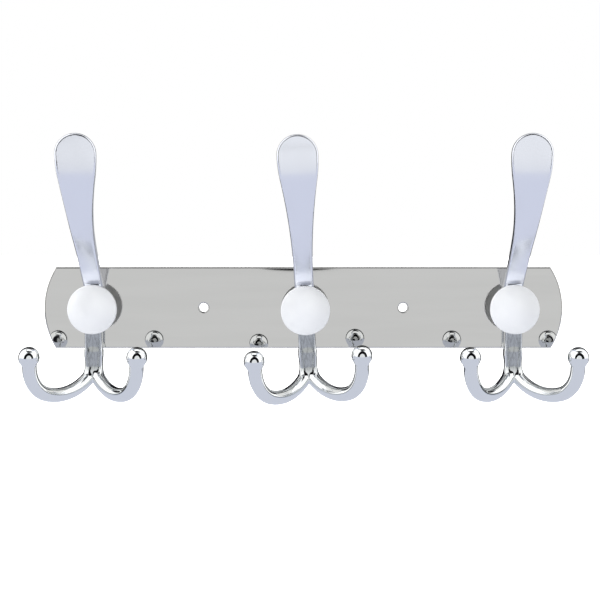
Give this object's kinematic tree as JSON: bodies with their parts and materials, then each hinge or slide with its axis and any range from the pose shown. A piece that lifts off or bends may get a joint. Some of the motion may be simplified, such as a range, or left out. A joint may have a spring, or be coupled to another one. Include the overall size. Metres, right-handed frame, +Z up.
{
  "type": "wall hook rack",
  "caption": "Wall-mounted mirror-polished rail with chrome tri-hooks, each with a paddle-shaped upper hook, a round domed cap and ball-tipped lower prongs.",
  "frame": {"origin": "centre of the rail plate's back face, where it lies on the wall, at the level of the wall holes", "axes": "+X along the rail to the right as seen from the room, +Y into the wall, +Z up"},
  "size_m": [0.3318, 0.0718, 0.1594],
  "materials": {
    "rail": "mirror-polished stainless steel",
    "casting": "bright chrome plate on a zinc casting",
    "cap": "bright chrome plate on a turned cap",
    "screw": "zinc-plated steel machine screw"
  },
  "bodies": {
    "root": {"mounting_plate": "rail", "hook_left": "casting", "cap_left": "cap", "hook_screw_left_upper": "screw", "hook_screw_left_lower": "screw", "hook_middle": "casting", "cap_middle": "cap", "hook_screw_middle_upper": "screw", "hook_screw_middle_lower": "screw", "hook_right": "casting", "cap_right": "cap", "hook_screw_right_upper": "screw", "hook_screw_right_lower": "screw"}
  },
  "joints": []
}
